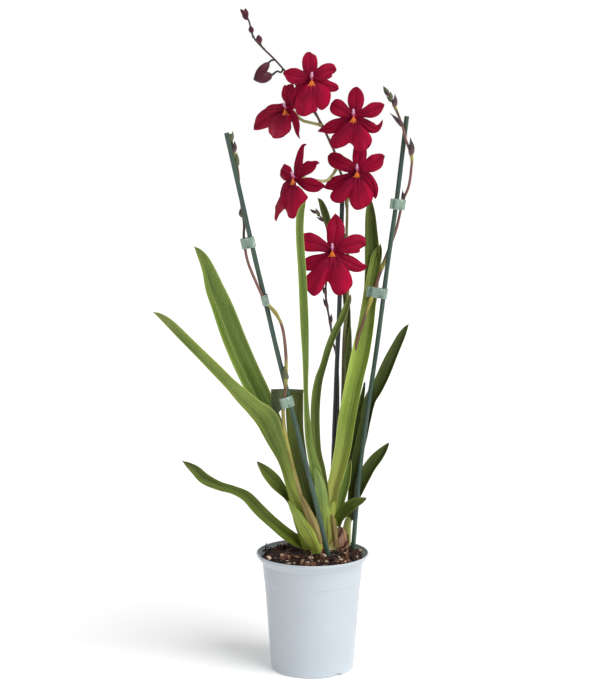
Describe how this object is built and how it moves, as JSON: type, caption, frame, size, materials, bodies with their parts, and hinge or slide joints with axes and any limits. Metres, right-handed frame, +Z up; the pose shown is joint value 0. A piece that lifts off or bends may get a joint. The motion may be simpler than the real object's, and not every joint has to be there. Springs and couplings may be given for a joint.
{
  "type": "potted burrageara orchid",
  "caption": "Orchid in a plain tapered pot of bark: strap leaves and branched flower stems tied to sticks, with deep red open blooms and buds.",
  "frame": {"origin": "middle of the pot's underside, on the surface that the pot stands on", "axes": "+X to the right of the plant as seen from the side its blooms face, -Y towards that side, +Z up"},
  "size_m": [0.2753, 0.1226, 0.6975],
  "materials": {
    "pot": "smooth pale grey-blue plastic",
    "sticks": "dark green painted sticks, satin",
    "shoots": "pale yellow-green leaf sheaths, satin",
    "old_pseudobulb": "dry papery scales, matte",
    "growing_medium": "moist bark chips, rough",
    "flower_stems": "brown-pink to olive stems with yellow-green nodes, satin",
    "ribbon_ties": "translucent pale green plastic, glossy",
    "leaves": "waxy green leaves with fine long veins, satin",
    "buds": "dull dark purple, satin",
    "petals": "deep red velvety tepals, the lip brighter crimson towards its rim",
    "columns": "pale pink column over an orange-yellow callus"
  },
  "bodies": {
    "root": {"pot": "pot", "stick_front": "sticks", "stick_middle": "sticks", "stick_right": "sticks", "shoot_left": "shoots", "shoot_right": "shoots", "shoot_back": "shoots", "old_pseudobulb": "old_pseudobulb", "growing_medium": "growing_medium", "spike_left": "flower_stems", "spike_right": "flower_stems", "spike_main": "flower_stems", "spike_thin": "flower_stems", "tie_1": "ribbon_ties", "tie_2": "ribbon_ties", "tie_3": "ribbon_ties", "tie_4": "ribbon_ties", "tie_5": "ribbon_ties", "leaf_front_upright": "leaves", "leaf_left_drooping": "leaves", "leaf_left_short": "leaves", "leaf_far_left": "leaves", "leaf_folded_over": "leaves", "leaf_left_upper": "leaves", "leaf_right_low": "leaves", "leaf_bright": "leaves", "sheath_bright": "leaves", "leaf_arching": "leaves", "leaf_behind_thin": "leaves", "leaf_right_short": "leaves", "leaf_right_long": "leaves", "leaf_tall_right": "leaves", "leaf_small_dark": "leaves", "leaf_dark_behind": "leaves", "bud_1": "buds", "bud_2": "buds", "bud_3": "buds", "bud_4": "buds", "bud_5": "buds", "bloom_1": "petals", "bloom_2": "petals", "bloom_3": "petals", "bloom_4": "petals", "bloom_5": "petals", "bloom_6": "petals", "column_1": "columns", "column_2": "columns", "column_3": "columns", "column_4": "columns", "column_5": "columns", "column_6": "columns"}
  },
  "joints": []
}
